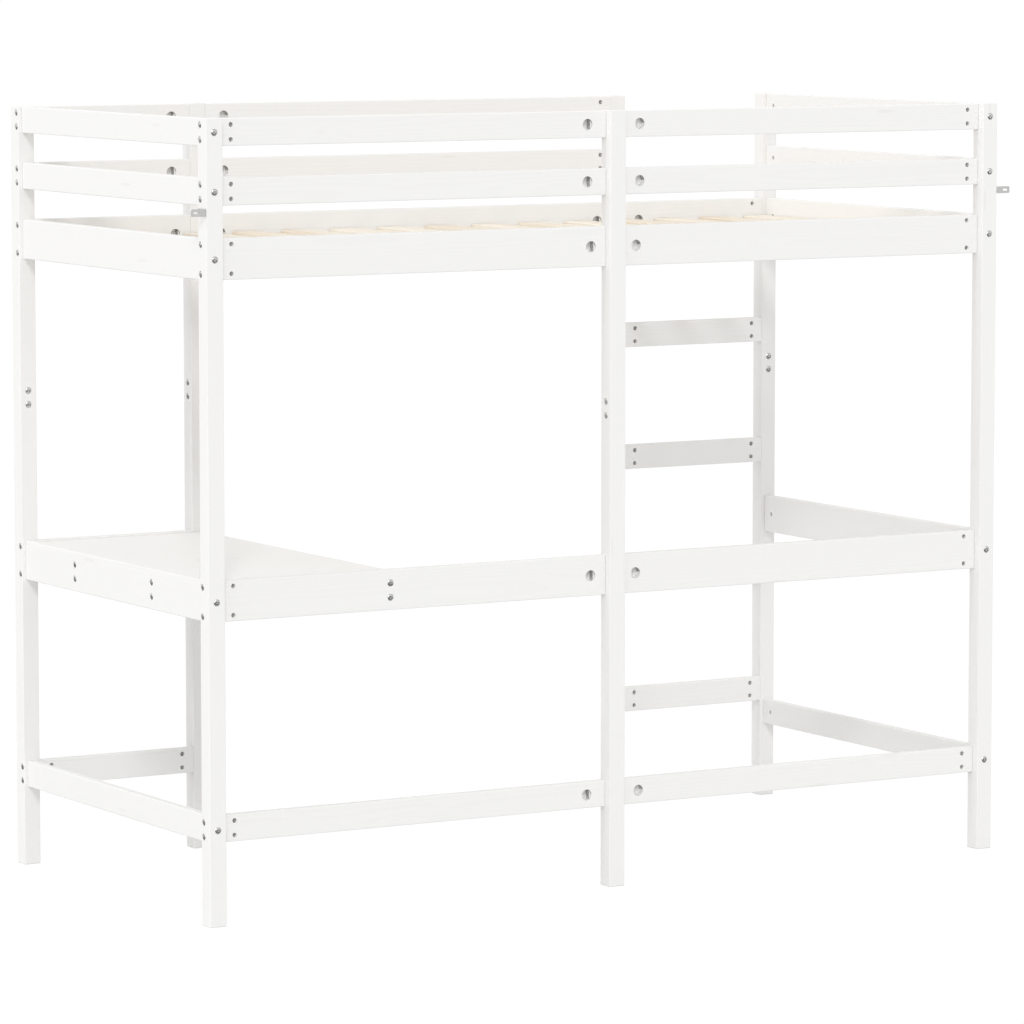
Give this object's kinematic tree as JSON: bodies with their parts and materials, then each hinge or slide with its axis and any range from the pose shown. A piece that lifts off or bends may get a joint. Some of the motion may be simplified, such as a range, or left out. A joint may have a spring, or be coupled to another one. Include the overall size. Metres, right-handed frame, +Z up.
{
  "type": "high bed with ladder and desk",
  "caption": "High single bed frame on square pine posts with guard boards, slats, a built-in vertical ladder and a small desk under one end, white with bare pine slats.",
  "frame": {"origin": "on the floor, under the middle of the bed", "axes": "+X along the length, from the desk end to the ladder end; +Y across the width, from the closed wall side to the ladder side; +Z up"},
  "size_m": [2.1426, 0.98, 1.755],
  "materials": {
    "white_lacquered_pine": "satin white lacquer that lets the grain through faintly",
    "natural_pine": "sanded bare pine with fine grain and small knots",
    "zinc_plated_steel": "zinc plated, slightly dull",
    "webbing": "woven off-white polyester tape"
  },
  "bodies": {
    "root": {"bottom_back_left": "white_lacquered_pine", "bottom_end_left": "white_lacquered_pine", "bottom_end_right": "white_lacquered_pine", "bottom_front_left": "white_lacquered_pine", "bottom_front_right": "white_lacquered_pine", "desk_batten_back": "white_lacquered_pine", "desk_batten_front": "white_lacquered_pine", "desk_cross_rail": "white_lacquered_pine", "desk_top": "white_lacquered_pine", "guard_second_back_centre": "white_lacquered_pine", "guard_second_back_left": "white_lacquered_pine", "guard_second_end_left": "white_lacquered_pine", "guard_second_end_right": "white_lacquered_pine", "guard_second_front_left": "white_lacquered_pine", "guard_second_front_right": "white_lacquered_pine", "guard_top_back_centre": "white_lacquered_pine", "guard_top_back_left": "white_lacquered_pine", "guard_top_end_left": "white_lacquered_pine", "guard_top_end_right": "white_lacquered_pine", "guard_top_front_left": "white_lacquered_pine", "guard_top_front_right": "white_lacquered_pine", "ladder_rung_1": "white_lacquered_pine", "ladder_rung_2": "white_lacquered_pine", "ladder_rung_3": "white_lacquered_pine", "ladder_rung_4": "white_lacquered_pine", "middle_back_left": "white_lacquered_pine", "middle_end_left": "white_lacquered_pine", "middle_end_right": "white_lacquered_pine", "middle_front_left": "white_lacquered_pine", "middle_front_right": "white_lacquered_pine", "post_back_desk_lower": "white_lacquered_pine", "post_back_desk_upper": "white_lacquered_pine", "post_back_ladder_lower": "white_lacquered_pine", "post_back_ladder_upper": "white_lacquered_pine", "post_back_left_lower": "white_lacquered_pine", "post_back_left_upper": "white_lacquered_pine", "post_back_right_lower": "white_lacquered_pine", "post_back_right_upper": "white_lacquered_pine", "post_front_left_lower": "white_lacquered_pine", "post_front_left_upper": "white_lacquered_pine", "post_front_middle_lower": "white_lacquered_pine", "post_front_middle_upper": "white_lacquered_pine", "post_front_right_lower": "white_lacquered_pine", "post_front_right_upper": "white_lacquered_pine", "side_back_centre": "white_lacquered_pine", "side_back_left": "white_lacquered_pine", "side_back_right": "white_lacquered_pine", "side_end_left": "white_lacquered_pine", "side_end_right": "white_lacquered_pine", "side_front_left": "white_lacquered_pine", "side_front_right": "white_lacquered_pine", "slat_cleat_back_centre": "natural_pine", "slat_cleat_back_left": "natural_pine", "slat_cleat_back_right": "natural_pine", "slat_cleat_front_left": "natural_pine", "slat_cleat_front_right": "natural_pine", "slat_roll": "natural_pine", "wall_angle_left": "zinc_plated_steel", "wall_angle_right": "zinc_plated_steel"}
  },
  "joints": []
}
